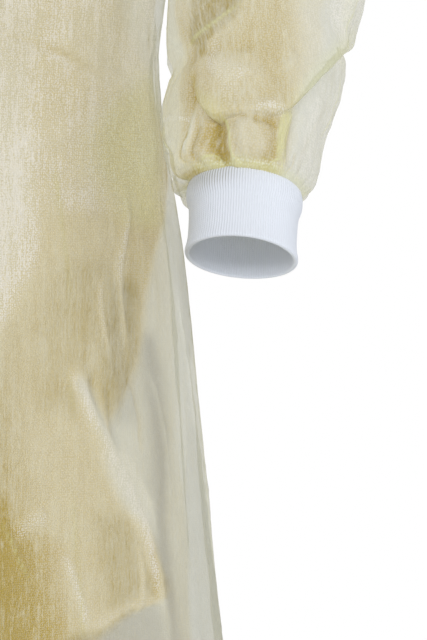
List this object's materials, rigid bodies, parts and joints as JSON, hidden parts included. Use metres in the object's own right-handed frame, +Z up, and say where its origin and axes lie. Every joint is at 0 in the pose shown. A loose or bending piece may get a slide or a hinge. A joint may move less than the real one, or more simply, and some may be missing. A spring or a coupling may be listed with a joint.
{
  "type": "visitor gown",
  "caption": "Thin yellow nonwoven visitor gown, worn and hollow, with long sleeves gathered into white knitted cuffs and ties at the back.",
  "frame": {"origin": "middle of the neck opening at the height of the shoulder seams' neck ends, where the wearer's shoulders hold the gown", "axes": "+Z up, +X to the wearer's left, -Y to the front"},
  "size_m": [0.6224, 0.3863, 1.1708],
  "materials": {
    "cloth": "thin translucent point-bonded nonwoven with a soft sheen",
    "trim": "folded strips of the same nonwoven",
    "knit": "matte fine rib knit"
  },
  "bodies": {
    "root": {"front_panel": "cloth", "back_panel_left": "cloth", "back_panel_right": "cloth", "sleeve_left": "cloth", "sleeve_right": "cloth", "cuff_left": "knit", "cuff_right": "knit", "neck_binding": "trim", "neck_knot": "trim", "neck_end_left": "trim", "neck_end_right": "trim", "waist_tie_left": "trim", "waist_tie_right": "trim", "waist_knot": "trim", "waist_end_left": "trim", "waist_end_right": "trim"}
  },
  "joints": []
}
